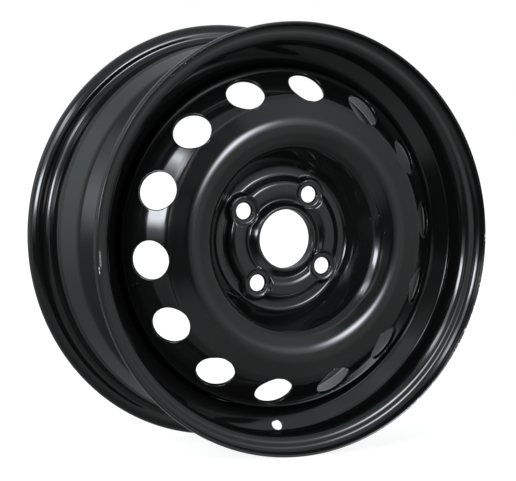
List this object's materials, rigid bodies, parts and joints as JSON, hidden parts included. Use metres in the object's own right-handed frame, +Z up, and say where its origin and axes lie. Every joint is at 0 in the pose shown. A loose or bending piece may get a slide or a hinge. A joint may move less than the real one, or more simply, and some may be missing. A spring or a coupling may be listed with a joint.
{
  "type": "steel wheel rim",
  "caption": "Pressed steel road wheel in gloss black: rolled drop-centre rim with a welded dished disc, round vents, conical bolt seats and a flanged centre bore.",
  "frame": {"origin": "on the wheel's axis, in the middle plane between the two tyre flanges", "axes": "+Y along the wheel's axis towards the hub, so that the styled face looks towards -Y; +Z up, with the valve hole near the bottom"},
  "size_m": [0.4152, 0.1808, 0.415],
  "materials": {
    "rim_paint": "gloss black paint on rolled steel",
    "disc_paint": "gloss black paint on pressed steel",
    "weld_paint": "black paint over weld beads"
  },
  "bodies": {
    "root": {"rim_barrel": "rim_paint", "wheel_disc": "disc_paint", "disc_welds": "weld_paint"}
  },
  "joints": []
}
